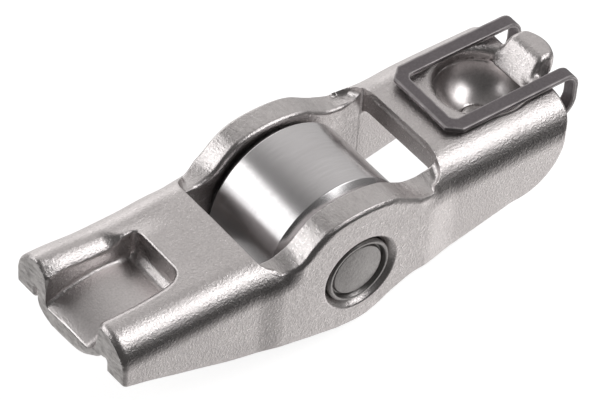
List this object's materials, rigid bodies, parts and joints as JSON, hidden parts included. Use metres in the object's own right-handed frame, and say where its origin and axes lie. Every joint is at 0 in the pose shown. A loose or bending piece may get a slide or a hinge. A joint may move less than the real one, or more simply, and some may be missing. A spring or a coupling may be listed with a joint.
{
  "type": "rocker arm",
  "caption": "Roller finger follower: folded sheet-steel arm with a crowned valve pad, a roller on needles and a staked axle, and a spherical pivot socket with a spring clip.",
  "frame": {"origin": "centre of the roller's axle, on the arm's mid-plane", "axes": "+X along the arm from the valve pad to the pivot socket, +Y along the axle, +Z from the belly towards the web, the way the socket and the valve pocket open"},
  "size_m": [0.0597, 0.0184, 0.0179],
  "materials": {
    "body_steel": "satin",
    "axle_steel": "satin",
    "roller_steel": "polished",
    "clip_steel": "satin",
    "needle_steel": "polished"
  },
  "bodies": {
    "arm": {"body": "body_steel", "axle": "axle_steel", "retaining_clip": "clip_steel"},
    "roller": {"roller": "roller_steel"},
    "needle_set": {"needle_01": "needle_steel", "needle_02": "needle_steel", "needle_03": "needle_steel", "needle_04": "needle_steel", "needle_05": "needle_steel", "needle_06": "needle_steel", "needle_07": "needle_steel", "needle_08": "needle_steel", "needle_09": "needle_steel", "needle_10": "needle_steel", "needle_11": "needle_steel", "needle_12": "needle_steel", "needle_13": "needle_steel", "needle_14": "needle_steel", "needle_15": "needle_steel", "needle_16": "needle_steel", "needle_17": "needle_steel", "needle_18": "needle_steel"}
  },
  "joints": [
    {"name": "roller_spin", "type": "hinge", "parent": "arm", "child": "roller", "pos_m": [0, 0, 0], "axis": [0, 1, 0], "continuous": true},
    {"name": "needle_orbit", "type": "hinge", "parent": "arm", "child": "needle_set", "pos_m": [0, 0, 0], "axis": [0, 1, 0], "continuous": true}
  ],
  "couplings": [
    {"joint": "needle_orbit", "follows": "roller_spin", "ratio": 0.5887}
  ]
}
